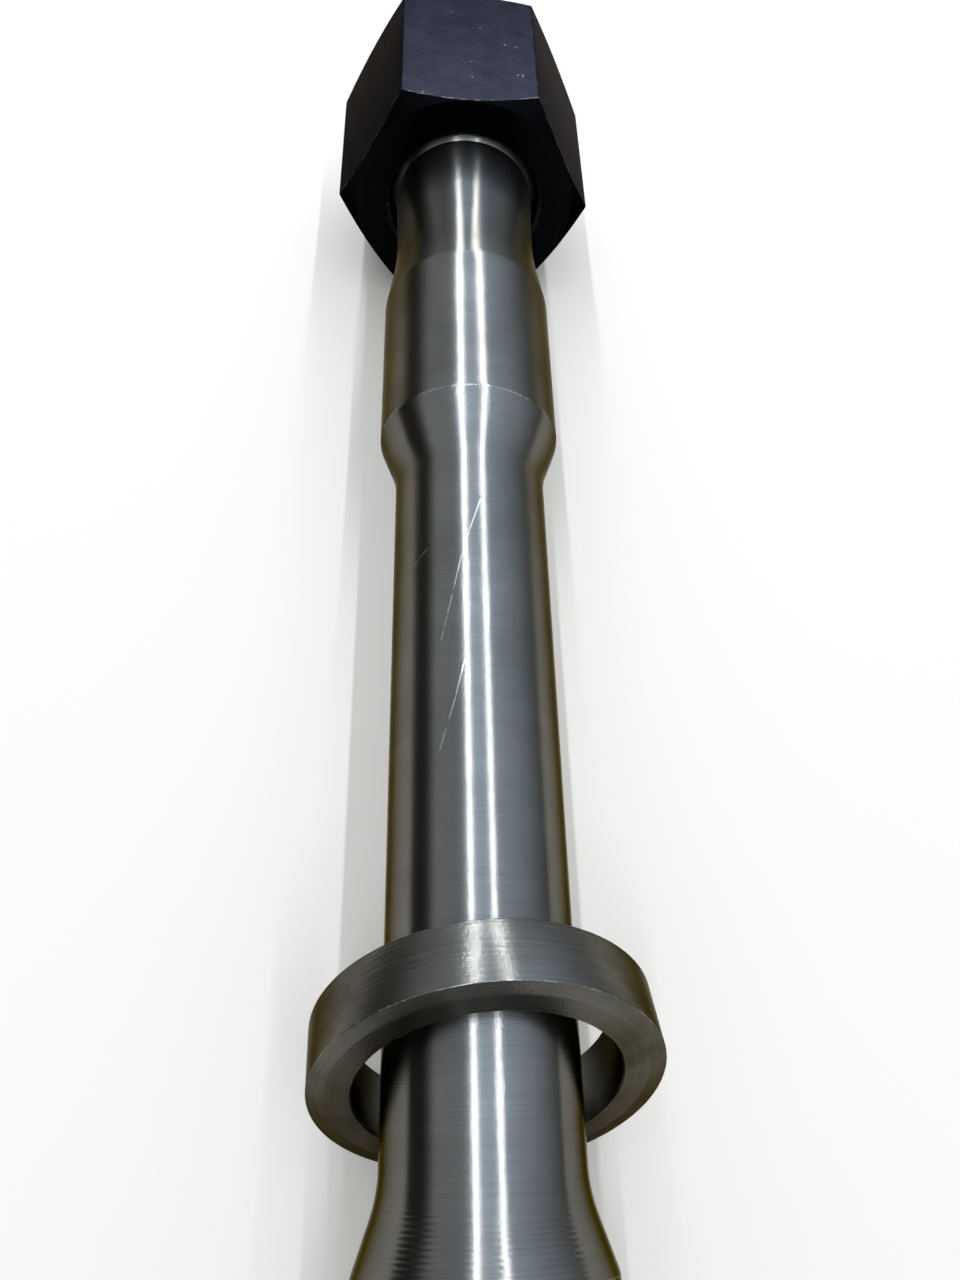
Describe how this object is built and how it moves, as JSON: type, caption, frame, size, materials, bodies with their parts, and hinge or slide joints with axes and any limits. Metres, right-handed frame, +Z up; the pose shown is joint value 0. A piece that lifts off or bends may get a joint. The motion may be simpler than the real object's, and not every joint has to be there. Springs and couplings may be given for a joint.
{
  "type": "stepped stud shaft with nuts and loose ring",
  "caption": "Waisted steel stud with centring bands and black hex nuts, lying on its nuts, with a loose spacer ring leaning on the shank.",
  "frame": {"origin": "on the floor under the middle of the stud, at the centre of the base of the bounding box", "axes": "+Z up, +Y along the stud from the near nut to the far nut, +X to the right seen from the near end"},
  "size_m": [0.1212, 0.765, 0.105],
  "materials": {
    "turned_steel": "fine turned, bright",
    "ring_steel": "turned, satin",
    "black_steel": "black oxide, semi-gloss"
  },
  "bodies": {
    "root": {"stud": "turned_steel", "far_nut": "black_steel", "near_nut": "black_steel", "ring": "ring_steel"}
  },
  "joints": []
}
